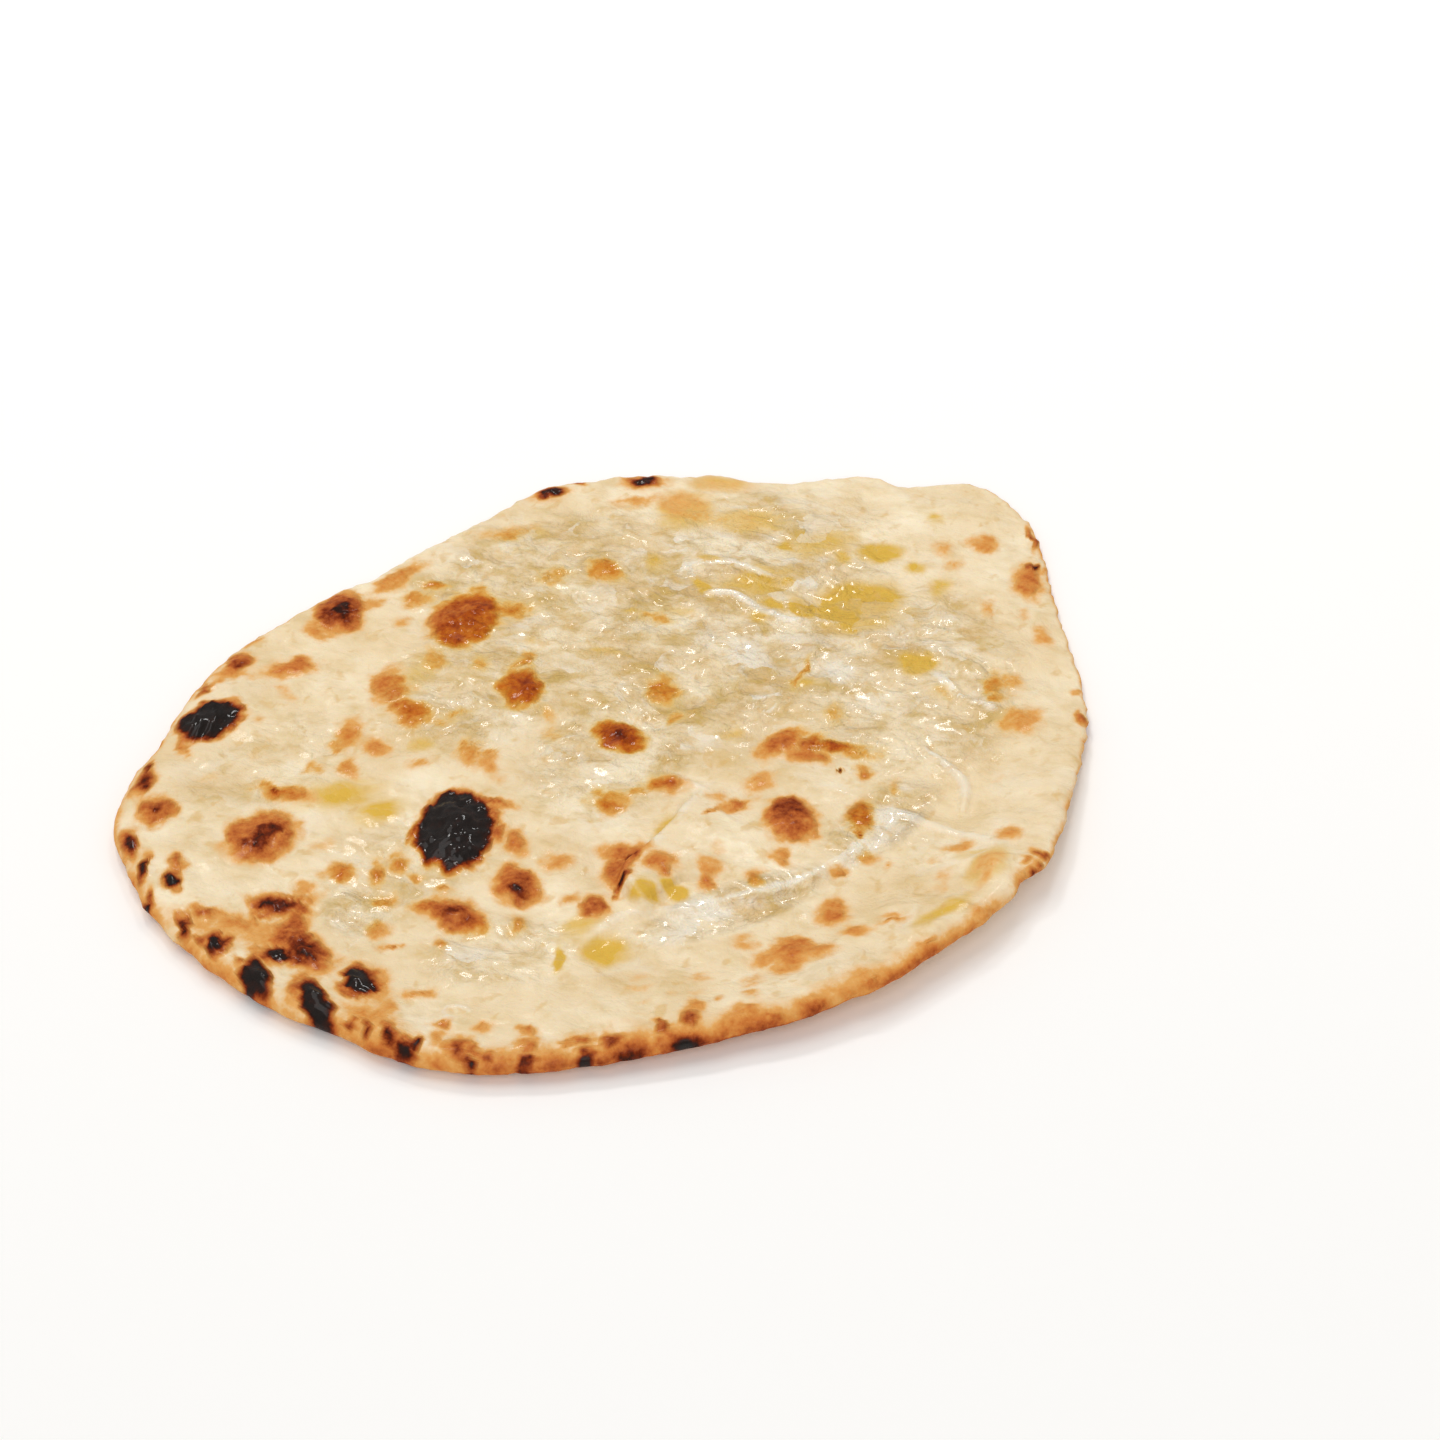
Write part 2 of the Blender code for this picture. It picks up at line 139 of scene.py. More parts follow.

# Browned and blackened places, two of them painted shadow under the near edge: an oval, how far it is
# baked (0 dough, 0.5 orange, 0.7 brown,
# 0.9 nearly black, 1 char) and how high the blister stands.
browning = {
    "paleBorder": 7.8,  # width of the border round the palest spot
    "darkBorder": 3.3,  # and round the blackest
    "borderShare": 1.8,  # a border is at most this many times a spot's half width
    "wander": 1.8,  # how far the borders wander
    "wanderSize": 5.0,
    "fineWander": 0.54,  # the same, with a smaller swing
    "fineWanderSize": 2.0,
    "blisterSpread": 1.2,  # how much wider than its browning a blister is
    "scorched": (0.6, 0.9),  # how far baked the skin starts to crackle, and where it does so fully
    "spots": [
        # the left end
        (-118.5, 56.5, 10, 9.5, 61, 0.64, 0.6), (-119.5, 56.5, 5.5, 4.5, 13, 0.88, 0.1),
        (-131.5, 50.5, 10, 4.5, 59, 0.92, 0.8), (-133, 40.5, 9, 3, 53, 0.97, 0.5),
        (-126, 37, 7, 4.5, 64, 0.65, 0.3), (-130.5, 32, 7, 4.5, 65, 1, 0.8),
        (-138.5, 29.5, 8.5, 2.5, 53, 1, 0.4), (-136.5, 16.5, 9, 3, 62, 0.9, 0.4),
        (-134, 7.5, 9, 4.5, 62, 1, 0.7), (-136, 10, 4, 3, 70, 0.69, 0.2),
        (-117, 11.5, 6, 6, -3, 0.9, 0.4), (-112.5, 7.5, 10, 4.5, -60, 0.83, 0.3),
        (-115.5, 0.5, 12, 7, 62, 0.66, 0.2), (-127, -3, 7.5, 7, -85, 0.5, 0.2),
        (-119.5, -9.5, 14.5, 10, -68, 0.74, 0.2), (-117.5, -2, 5.5, 5, -19, 0.63, 0.4),
        (-124.5, -5, 6.5, 6, -23, 0.97, 0.6), (-118.5, -10, 9.5, 5.5, -83, 0.92, 0.6),
        (-133, -9.5, 14.5, 7.5, 63, 1, 1.5), (-126.5, -25.5, 20, 6.5, 74, 1, 1.5),
        (-114.5, -25, 12.5, 9, 62, 1, 1.4), (-134, -2, 4, 2, 59, 0.58, 0.1),
        (-119.5, -38, 16, 8.5, -78, 0.38, 0), (-124, -36, 4.5, 3, 58, 0.83, 0.2),
        (-122.5, -39.5, 4.5, 2, 57, 0.86, 0.2), (-119.5, -47, 8, 4, 69, 0.66, 0.4),
        (-119.5, -52, 5.5, 3, 56, 0.82, 0.3), (-100, -12.5, 5.5, 5.5, -4, 0.45, 0.2),
        (-106, 10, 6.5, 5, -78, 0.39, 0.2), (-104, 32.5, 20.5, 17.5, 20, 0.6, 0.8),
        (-118.5, 0.5, 13, 5, 41, 0.66, 0.2), (-112, 11.5, 16, 3, -37, 0.5, 0.1),
        (-103.5, 31.5, 16, 7.5, 23, 0.82, 0.5), (-109, 32, 7.5, 4, 24, 0.82, 0.2),
        (-106, -37.5, 6.5, 3.5, -37, 0.43, 0.4), (-108.5, -49, 5, 2.6, -32, 0.5, 0.2),
        (-120, -45, 5, 4, 64, 0.89, 0.4), (-120, -50.5, 5, 3.5, 60, 1, 0.3),
        (-117, -52, 6.5, 2.5, 49, 0.96, 0.3), (-110.5, -53.5, 7.5, 4, 56, 0.41, 0),
        (-110, -58.5, 6.5, 5, 58, 0.76, 0.2), (-110.5, -63, 6, 3, 63, 0.99, 0.3),
        (-107, -65, 5.5, 4.5, 77, 0.67, 0.2), (-101.5, -57, 4.5, 4, -62, 0.41, 0.2),
        (-115, -37.5, 7.5, 5.5, 62, 0.36, 0.3), (-100.5, -72, 6.5, 6, 70, 0.81, 0.5),
        (-100.5, -20, 5.5, 2, -35, 0.46, 0.2), (-112, 71.5, 6.5, 2, 59, 0.81, 0.4),
        (-123.5, -3.5, 3, 3, 10, 0.44, 0.1), (-130, 12, 26, 9, -55, 0.3, 0.0),
        (-121, 2, 18, 12, -60, 0.34, 0.0), (-118, -7, 12, 8.5, -86, 0.82, 0.5),
        (-130, 17.5, 9, 4, -52, 0.6, 0.2), (-115, 10, 12.5, 6.5, -52, 0.86, 0.4),
        (-118.5, -11.5, 12, 5.5, -88, 0.7, 0.2), (-125.5, 10, 13, 6, -57, 0.46, 0.1),
        (-127.5, -18, 9, 3, 56, 0.6, 0.2), (-26.5, -79, 6, 2.5, -25, 0.4, 0.1),
        (-116, 68.5, 10, 4.5, 37, 0.85, 0.4), (-120.5, 57.5, 11, 7, 50, 0.68, 0.3),
        (-112, -28, 14, 7, 73, 0.5, 0.2), (-109, 8.5, 8.5, 3.5, -38, 0.55, 0.2),
        (-132.5, 5, 6, 3.5, 39, 0.92, 0.3), (-107, -60.5, 5.5, 3.5, 75, 0.62, 0.2),
        (-121.5, 10, 7, 2.4, 69, 0.5, 0.1), (-97, -68, 7, 4.5, -38, 0.6, 0.3),
        (-100.5, 75, 9, 3, 73, 0.55, 0.2),
        # the near edge
        (-70, -84.5, 6.5, 2.8, 88, 0.7, 0.2), (-64, -88.5, 4.5, 3.5, 83, 0.7, 0.2),
        (-82, -80.5, 6.5, 5.5, 56, 0.77, 0.5), (-79.5, -85, 4, 3, 53, 0.55, 0.2),
        (-90.5, -82, 6.5, 4.5, -26, 1, 0.2), (-73, -89.5, 6.5, 6, 2, 0.7, 0.5),
        (-63, -87, 6, 5, 51, 0.7, 0.5), (-67.5, -92.5, 5, 4.5, 52, 0.7, 0.3),
        (-59, -94, 5, 5, -9, 0.39, 0.2), (-52, -94, 6.5, 4.5, -19, 0.48, 0.4),
        (-54.5, -80, 5, 2.5, -40, 0.18, 0.2), (-53.5, -85.5, 2.5, 2, -40, 0.3, 0.1),
        (-47, -89, 3, 3, 46, 0.34, 0.1), (-59.5, -83.5, 6, 4, 51, 0.4, 0.3),
        (26.5, -83, 6.5, 4.5, -37, 0.37, 0.3), (37, -89.5, 6, 5.5, -15, 0.42, 0.3),
        (15, -89.5, 6.5, 3, 46, 0.2, 0.1), (-12, -79.5, 10.5, 8, 44, 0.51, 0.4),
        (-13.5, -89, 6.5, 4, -39, 0.52, 0.3), (-5.5, -93.5, 6.5, 2, -35, 0.46, 0.1),
        (19, -82, 3, 2.5, -32, 0.2, 0.1), (-51.5, -77, 5.5, 2.5, -32, 0.3, 0.1),
        (-44, -86, 4, 3.5, 8, 0.22, 0.1), (-28, -82.5, 9, 8.5, -32, 0.52, 0.3),
        (-35, -81.5, 7.5, 6, -18, 0.47, 0.3), (-34.5, -86.5, 7.5, 6.5, -37, 0.39, 0.3),
        (-25.5, -87.5, 8, 6.5, -37, 0.46, 0.3), (-30.5, -84.5, 12, 7.5, -39, 0.5, 0.4),
        (-44, -86, 4, 3, -8, 0.21, 0.1), (-52, -93.5, 6.5, 5, -50, 0.46, 0.3),
        (-48.5, -98.5, 4.5, 3, -58, 0.69, 0.1), (-24, -106, 9.5, 3, -6, 0.56, 0.1),
        (-5.5, -106, 7.5, 2.5, -5, 0.44, 0.1), (11.5, -106, 8, 3, 1, 0.4, 0.1),
        (11.5, -92.5, 5.5, 3, 45, 0.19, 0.1), (-37, -103.5, 6.5, 2.5, -22, 0.61, 0.1),
        # (32.5, -104) on the next line and (36.6, -101.4) below it are painted shadow of the gap under
        # the ragged lip, darkening the lowest line of the near edge
        (32.5, -104, 5, 2, 53, 0.8, 0.6), (32.5, -100.5, 3.5, 3, 34, 0.44, 0.2),
        (-88.6, -79.2, 6, 3.6, -10, 1, 0.2), (36.6, -101.4, 3.4, 6, 20, 0.8, 0.6),
        # the middle
        (-74.5, 91.5, 8.5, 5, -26, 0.56, 0.3), (-46.5, 56.5, 11, 5, -14, 0.56, 0.3),
        (-58, -4, 7.5, 3.5, 41, 0.6, 0.2), (-47.5, 92, 8.5, 4, 86, 0.48, 0.3),
        (-73, 10.5, 10, 2.4, 41, 0.6, 0.1), (-7.5, 4.5, 10, 2.6, 87, 0.5, 0.1),
        (1.5, -53, 8.5, 2.6, 47, 0.56, 0.1), (-53, 9, 7, 3, 89, 0.7, 0.2),
        (-93, 48.5, 4.5, 4, 26, 0.46, 0.1), (24.5, -28, 8, 4.8, 11, 0.64, 0.3),
        (73, -46.5, 5, 3.5, 5, 0.44, 0.1), (-11, -58, 6, 3, -68, 0.42, 0.1),
        (-43.5, -34, 10, 7.5, 40, 0.62, 0), (-37, -33, 10.5, 4, 40, 0.74, 0),
        (24, -41, 2.2, 1.4, 0, 1, 0.2), (-38, -30, 11, 6, -49, 0.59, 0),
        (-44.5, -35.5, 11, 6, 57, 0.57, 0), (-37.5, -33, 6, 4, 41, 0.93, 0),
        (-96, 9.5, 8, 6.5, 68, 0.47, 0.4), (-89, 3.5, 8.5, 4, 57, 0.5, 0.3),
        (-84, 2.5, 5.5, 5, 17, 0.44, 0.3), (-93.5, -5.5, 6, 5, -35, 0.45, 0.2),
        (-90, 42.5, 14.5, 5, -53, 0.59, 0.3), (-91.5, 45.5, 4.5, 3, -48, 0.72, 0.1),
        (-94, -65, 4, 4, -88, 0.49, 0.2), (-86.5, -75.5, 5.5, 3.5, -9, 0.57, 0.2),
        (-90, -74, 2.5, 2.5, -85, 0.5, 0.1), (-67.5, -73.5, 4, 1.5, -40, 0.19, 0.1),
        (-61, -76, 4, 2, -27, 0.18, 0.1), (-65, 4, 31, 19, 51, 1, 3),
        (-51, 5.5, 8.5, 4, -55, 0.67, 0.3), (-54, 2, 7, 4.5, 55, 0.6, 0.4),
        (-56, -9.5, 9.5, 5, 54, 0.51, 0.5), (-53, -22.5, 7, 5.5, -44, 0.4, 0.4),
        (-65.5, -22.5, 14.5, 10.5, -89, 0.68, 1.2), (-67, -24.5, 8.5, 5.5, -86, 0.88, 0.5),
        (-83, -21.5, 16, 9.5, -72, 0.7, 1.1), (-83, -20, 7.5, 5.5, 88, 0.81, 0.4),
        (-86, -14, 7.5, 5, -43, 0.64, 0.4), (-80, -11.5, 4.5, 4, 22, 0.46, 0.2),
        (-74, -33.5, 6.5, 4, 55, 0.42, 0.3), (-83.5, 2.5, 8, 4.5, 57, 0.44, 0.3),
        (-91.5, -26.5, 4, 3.5, -68, 0.4, 0.2), (-55.5, -41, 7.5, 7, 63, 0.66, 0.4),
        (-58.5, -35, 5, 4.5, -56, 0.41, 0.1), (-45.5, -39.5, 7.5, 2.5, 34, 0.93, 0),
        (-35, -40.5, 7.5, 6.5, -42, 0.5, 0.3), (-35.5, -43, 5.5, 4, 52, 0.65, 0.2),
        (-29.5, -13.5, 8.5, 8, -57, 0.46, 0.5), (-21, -15, 6, 3.5, -13, 0.4, 0.2),
        (-30, -9.5, 7, 6, 57, 0.28, 0.2), (-64.5, -69.5, 5.5, 2, -40, 0.21, 0.1),
        (-90, 78, 20.5, 12.5, 12, 1, 1.9), (-71, 93.5, 7, 6.5, -18, 0.74, 0.6),
        (-62.5, 98.5, 6.5, 3, 8, 0.46, 0), (-85.5, 89.5, 5, 2.5, 25, 0.69, 0.3),
        (-81, 89.5, 5, 2.5, -2, 0.42, 0.1), (-71.5, 87.5, 4.5, 2.5, -43, 0.28, 0.1),
        (-61.5, 83, 13, 6.5, -27, 0.57, 0.5), (-58, 83.5, 6, 5.5, -10, 0.51, 0.2),
        (-37.5, 94, 17.5, 13.5, 45, 0.72, 1.2), (-37.5, 94, 8.5, 7, 45, 0.9, 0.4),
        (-29, 92, 6.5, 3.5, -1, 0.36, 0.1), (-17, 96.5, 19, 4.5, 7, 0.48, 0.3),
        (-18, 86.5, 8, 7, -14, 0.46, 0.4), (-10, 87, 6.5, 4.5, -45, 0.48, 0.3),
        (-28, 80.5, 4.5, 3.5, 63, 0.3, 0.1), (-30.5, 61, 8.5, 7, 62, 0.35, 0.5),
        (-45.5, 60, 12.5, 9.5, 62, 0.5, 0.6), (-41, 64.5, 6.5, 4.5, 60, 0.28, 0.2),
        (-47.5, 48, 12.5, 9.5, -82, 0.51, 0.5), (-43, 40.5, 9, 4.5, -32, 0.27, 0.2),
        (-37.5, 40, 6.5, 3, -27, 0.32, 0.1), (-64.5, 51, 10, 6, 52, 0.46, 0.3),
        (-69.5, 49.5, 6, 3, -24, 0.4, 0.1), (-62, 43, 7.5, 5.5, -88, 0.52, 0.4),
        (-72, 40.5, 7, 5, 60, 0.45, 0.3), (-79.5, 46, 6, 3.5, -33, 0.3, 0.2),
        (-80, 71.5, 4, 2.5, 61, 0.3, 0.1), (-68.5, 75, 5, 2.5, -57, 0.26, 0.1),
        (-45, 27, 9.5, 4, 55, 0.42, 0.4), (-57, 29.5, 4.5, 3, -44, 0.29, 0.2),
        (40, 101.5, 8, 5.5, -34, 0.94, 0.6), (39.5, 101, 9.5, 7.5, -34, 0.36, 0.1),
        (19.5, 93.5, 15.5, 6, -26, 0.3, 0), (17, 70.5, 9.5, 7, -29, 0.31, 0.4),
        (29.5, 63, 11, 9, -75, 0.4, 0.5), (-10.5, 46.5, 9, 4.5, 0, 0.33, 0.3),
        (27.5, 38, 10.5, 4.5, -49, 0.3, 0.1), (-6.5, 69, 13, 7.5, 58, 0.54, 0.3),
        (-0.5, 66, 10.5, 7, -43, 0.41, 0.3), (-13.5, 70.5, 25, 18.5, 30, 0.62, 1.1),
        (-10, 71, 14.5, 10, 2, 0.64, 0.3), (-4, 76, 9.5, 7, 57, 0.4, 0.3),
        (-19.5, 65, 12, 8.5, -44, 0.44, 0.2), (-18.5, 37.5, 15.5, 12, 63, 0.6, 1),
        (-17.5, 38, 10, 7.5, 57, 0.69, 0.3), (-24, 33.5, 7.5, 6, -44, 0.49, 0.1),
        (-21.5, 52, 5.5, 4.5, 61, 0.3, 0.1), (-12, 45.5, 8.5, 3.5, 2, 0.42, 0.3),
        (-20, 23.5, 8, 3.5, 53, 0.26, 0.1), (-24.5, 16.5, 4.5, 4, -7, 0.24, 0.1),
        (-44.5, 24.5, 12, 5.5, 55, 0.41, 0.4), (-44, 18.5, 9.5, 5, 61, 0.37, 0.3),
        (-56, -9, 9.5, 5, 54, 0.54, 0.4), (9, 12.5, 10, 8.5, -79, 0.45, 0.5),
        (11.5, 16, 5.5, 5, 54, 0.33, 0.3), (4.5, 2, 6.5, 3, 19, 0.36, 0.2),
        (-10.5, 5.5, 14, 10.5, -62, 0.68, 1.1), (-11, 5.5, 8, 6, -87, 0.84, 0.4),
        (19.5, -23.5, 14.5, 8.5, 7, 0.57, 0.6), (29, -33.5, 15.5, 5, -50, 0.61, 0.5),
        (20.5, -30.5, 13, 6, -54, 0.56, 0.4), (31, -38, 7, 3.5, -81, 0.39, 0.1),
        (-13.5, -17, 9.5, 6.5, -41, 0.59, 0.4), (5, -31.5, 8.5, 6.5, 6, 0.41, 0.3),
        (-5, -35, 9, 4, -15, 0.59, 0.3), (-11, -33.5, 5, 1.5, -3, 0.4, 0.1),
        (-7, -30, 6.5, 5, 50, 0.26, 0.5), (1, -48.5, 15.5, 13, 47, 0.66, 1.3),
        (3, -44.5, 9.5, 8.5, -76, 0.77, 0.3), (16, -58, 12.5, 7.5, 45, 0.54, 0.5),
        (11, -62.5, 4.5, 2, 48, 0.63, 0.1), (28, -45.5, 5, 4, 45, 0.51, 0.3),
        (-9, -56.5, 6, 4.5, 48, 0.46, 0.3), (-25.5, -48.5, 6.5, 5, -83, 0.42, 0.3),
        (-29, -52.5, 6.5, 4, 50, 0.56, 0.2), (-19.5, -58.5, 6, 4.5, 49, 0.42, 0.2),
        (7.5, -70, 5, 3.5, -38, 0.36, 0.2), (-1.5, -69.5, 4.5, 4, -35, 0.52, 0.3),
        (10, -75.5, 4, 2, 47, 0.35, 0.1), (30.5, -56, 5.5, 4, 45, 0.29, 0.1),
        (-35.5, -74, 6, 3.5, -40, 0.3, 0.1), (37.5, -23.5, 9.5, 5.5, 48, 0.29, 0.3),
        # the right end
        (108, 9.5, 6, 5.5, -28, 0.28, 0.1), (73.5, 55.5, 24, 10.5, -40, 0.2, 0),
        (49, 100.5, 5.5, 2.5, -41, 0.72, 0.2), (64.5, 89, 10.5, 6, -34, 0.93, 0.6),
        (64, 89, 12.5, 8, -33, 0.43, 0.1), (56, 83, 15, 3.5, -26, 0.34, 0),
        (65, 71, 18.5, 14.5, -78, 0.27, 0), (80.5, 74, 18.5, 8, -40, 0.18, 0),
        (42, -5.5, 14, 2, 28, 0.43, 0.2), (118.5, 4, 8, 7.5, 2, 0.45, 0.4),
        (106, 2.5, 5, 4.5, -22, 0.34, 0.2), (117, -15.5, 15.5, 8, 42, 0.55, 0.8),
        (123, -12, 5.5, 2.5, -29, 0.96, 0.2), (131.5, -2, 11, 2.5, 52, 0.69, 0.2),
        (102.5, -35.5, 7.5, 5.5, 40, 0.34, 0.5), (98.5, -18, 6.5, 4, 43, 0.28, 0.1),
        (77.5, -43, 13, 5.5, 45, 0.36, 0.4), (82, -44.5, 8.5, 7, 36, 0.29, 0.3),
        (73, -57.5, 12, 10.5, 30, 0.38, 0.5), (65.5, -36, 5, 4.5, 24, 0.26, 0.1),
        (85.8, -67, 6, 3.2, 52, 0.61, 0.2), (93.4, -58.6, 4, 2.6, 30, 0.33, 0.2),
    ],
    # light freckles: an oval and how far it is baked
    "freckles": [
        (-21, 53.4, 5.4, 3.6, 0, 0.26), (-57, 30.4, 5, 3.4, 0, 0.34), (-68, 77, 3.4, 4.6, 0, 0.24),
        (-80.4, 71.6, 3, 4.4, 0, 0.24), (-101, 59.6, 5.4, 4.2, 0, 0.18), (-93, 21, 6, 4.6, 0, 0.18),
        (-79, 47, 5.6, 3.4, 0, 0.32), (-27.6, 80.4, 4.4, 4.4, 0, 0.28), (105.4, 3, 6, 3.4, 10, 0.3),
        (108.4, 10.4, 5, 4.4, 0, 0.28), (105, -26, 4.4, 2.6, 0, 0.2), (93.4, -58.6, 4, 2.6, 30, 0.4),
        (35, -43, 7, 4.4, 0, 0.22), (-4.6, -91.4, 5, 2.4, -35, 0.34), (-34.4, -71.4, 6, 3.4, 0, 0.24),
        (-51, -75, 5, 2.6, -10, 0.28), (-43, -84, 5, 3, 0, 0.24), (25, -94.4, 9, 6, 20, 0.3),
        (15, -89, 5, 2.6, 30, 0.26), (20, -98, 9, 2.6, 15, 0.28), (17, 94.6, 12, 4.4, -35, 0.22),
        (56, 82.4, 11, 5, -35, 0.3), (-82, -4, 3.6, 3.6, 0, 0.36), (-19.6, 25, 7, 4, 50, 0.26),
        (-24.6, 18.4, 5, 3, 0, 0.26), (-40.6, 22, 3.4, 3, 0, 0.4), (65, -35, 5, 5, 0, 0.2),
        (-115, -14, 5, 5, 0, 0.3), (48.4, 101, 4.4, 2.6, -30, 0.46), (99, -18, 7, 2.6, 25, 0.24),
        (-62, -66, 4, 3, 0, 0.16), (-5, 52, 5, 3, 0, 0.14), (52, -70, 4, 3, 0, 0.12),
        (16, 86, 6, 3, 10, 0.14), (-88, 60, 4, 3, 0, 0.12), (12, -12, 6, 5, 0, 0.16),
        (-46, 12, 5, 3, -30, 0.2), (-20, -45, 5, 3, 20, 0.16), (-13, -33, 4, 1.6, 5, 0.5),
    ],
    # browning of the very edge, as direction and amount pairs: how far it is baked
    "edgeHeat": [
        (0, 0.46), (12, 0.36), (45, 0.14), (90, 0.12), (120, 0.3), (135, 0.46), (150, 0.4), (175, 0.38),
        (200, 0.4), (215, 0.56), (235, 0.7), (250, 0.64), (265, 0.44), (278, 0.34), (290, 0.32),
        (302, 0.28), (318, 0.26), (340, 0.34),
    ],
    # and how far in it reaches
    "edgeReach": [
        (0, 2.4), (45, 1.6), (90, 1.4), (120, 2.4), (135, 3.4), (150, 3.0), (175, 6.0), (200, 8.0),
        (215, 10.0), (228, 11.0), (240, 10.0), (262, 7.0), (278, 4.5), (290, 2.6), (302, 1.8),
        (335, 1.8),
    ],
    "edgeFade": 1.4,  # higher makes it fade sooner on the way in
    "edgePatches": 0.85,  # unevenness of the edge's browning
    "edgePatchSize": 8.0,
    "edgeWander": 0.5,  # unevenness of its reach
    "edgeWanderSize": 9.0,
    "edgeWrap": 12.0,  # how far it wraps under the edge
    # the underside: scattered spots on a lightly toasted skin
    "underSpots": 46,
    "underSizes": (6, 17),
    "underNarrowing": (0.5, 0.95),  # width as a share of length
    "underBaked": [0.5, 0.6, 0.66, 0.76, 0.9],
    "underBorder": 4.0,
    "underWander": 2.2,
    "underWanderSize": 6.0,
    "underHeat": 0.2,
    "underPatches": 0.12,  # unevenness of the toasting
    "underPatchSize": 24.0,
    "seed": 4,
}

# Melted butter: ovals and how much of it stands there, two of them painted shade in hollows beside the
# folds; the pale film with painted sheen; and where the skin is soaked and shiny.
butter = {
    "poolSoftness": 0.8,  # share of an oval over which the butter thins out
    "filmAndSheenSoftness": 0.8,
    "soakedSoftness": 0.5,
    "wander": 1.6,  # how far the borders wander
    "wanderSize": 6.0,
    "patches": 0.35,  # unevenness of the soaking
    "patchSize": 16.0,
    "poolsAndShade": [
        (73, 6, 36, 30, -32, 0.8), (58, 32, 34, 18, -30, 0.35), (84, 34, 30, 20, -30, 0.35),
        (78, 2, 18, 14, 42, 0.85), (61, 15, 15, 8, -77, 1.0), (94, 20.5, 18, 12, -39, 0.6),
        (69, -23, 15, 13, -21, 0.8), (96.5, 8.5, 9, 7, -37, 0.45), (64.5, 26, 7, 5, -38, 0.7),
        (84, 25, 9, 8, -36, 0.4), (116, 21.5, 9, 6, 45, 0.3), (76, 39, 9, 7, 48, 0.5),
        (55, 46, 5, 14, 30, 0.55), (56, 22, 6, 12, 10, 0.5), (-44.5, -46, 11, 8, 52, 0.72),
        (-38, -50, 12, 7, 79, 0.66), (-73.5, -50, 13, 3.6, 44, 0.85), (-63, -53, 19, 15, -80, 0.55),
        # (-60.5, -43) and (-24.5, -29.5) on the next line are painted shade in the hollows beside the
        # folds, not butter
        (46, 41, 18, 4, 84, 0.6), (-60.5, -43, 24, 10, 8, 0.35), (-24.5, -29.5, 15, 7, 32, 0.35),
        (-80, 34, 34, 16, -30, 0.4), (-76, 22, 20, 12, -20, 0.4), (64, 70, 26, 20, 53, 0.55),
        (74, 55.5, 30, 16, -40, 0.42), (80.5, 74, 22, 11, -40, 0.35), (42.5, 58, 12, 9, 52, 0.3),
        (50, 19.5, 9, 9, 47, 0.4), (23.5, 44.5, 9, 5, -40, 0.4), (-36, 60, 20, 14, 30, 0.2),
        (-53, 36, 10, 9, 0, 0.25), (12, -13, 8, 5, 0, 0.3), (96, -2, 12, 9, 30, 0.3),
        (24, -95, 24, 13, 25, 0.36), (4, -100, 30, 7, 0, 0.36), (26, -88, 12, 6, -30, 0.35),
        (34, 36, 12, 5, -40, 0.3), (8, 36, 12, 5, -40, 0.25), (40, -8, 12, 5, -40, 0.3),
    ],
    # where the skin is painted pale: partly lifted film, partly painted sheen and highlights on the wet
    # skin, along the folds and on the ragged near edge
    "milky": [
        (-102, -66, 26, 12, 60, 0.4), (20, -90, 60, 10, 15, 0.5), (80, -60, 60, 10, 45, 0.5),
        (17.7, 28.5, 26, 15, 60, 0.9), (34, 8, 30, 16, 60, 0.8), (3.4, -9.8, 22, 10, -40, 0.7),
        (64, 26, 12, 9, -50, 0.9), (-31, -61, 30, 7, -22, 1.0), (2, -68, 40, 6, 3, 1.0),
        (20, -62, 20, 9, 20, 0.9), (31, -57, 14, 6, 20, 0.7), (45.5, -60, 7, 14, 0, 0.6),
        (69, -40, 10, 22, 0, 0.5), (-29, -33, 24, 4, 20, 0.7), (-8, -24, 12, 6, 30, 0.6),
        (-42, -62, 22, 12, -20, 0.6), (22, -36, 14, 10, 0, 0.6), (-90, -34, 18, 9, -20, 0.8),
        (-62, -62, 20, 9, -30, 0.6), (-52, -44, 10, 14, 20, 0.4), (50, 62, 26, 12, -30, 0.7),
        (72, 32, 14, 8, -30, 0.8), (0, 20, 20, 12, 40, 0.5), (-26, 10, 20, 9, 30, 0.5),
        (-92, 30, 18, 10, 30, 0.5), (84, -14, 18, 10, 40, 0.6), (50, -10, 18, 14, 50, 0.6),
        (-36, -14, 14, 22, 10, 0.5), (-108, -14, 12, 10, 0, 0.6), (-55, 66, 16, 9, 30, 0.5),
        (24, -78, 20, 10, -20, 0.4), (100, -8, 16, 12, 40, 0.4), (-2, 58, 18, 8, 30, 0.4),
    ],
    "soaked": [
        (20, 78, 100, 40, -12, 0.85), (40, 26, 150, 104, 18, 1.0), (-12, 50, 110, 60, 20, 0.8),
        (60, -24, 100, 76, 50, 0.9), (-12, 4, 80, 50, 20, 0.8), (-30, -62, 64, 16, -14, 1.0),
        (-84, -38, 44, 30, -20, 0.6), (-84, 2, 50, 40, 0, 0.45), (-100, -4, 22, 20, 0, 0.9),
        (20, -62, 50, 20, 10, 0.9), (-88, 54, 60, 40, 0, 0.4), (6, 92, 80, 24, 0, 0.2),
    ],
}


def ease(value):
    held = np.clip(value, 0.0, 1.0)
    return held * held * (3.0 - 2.0 * held)


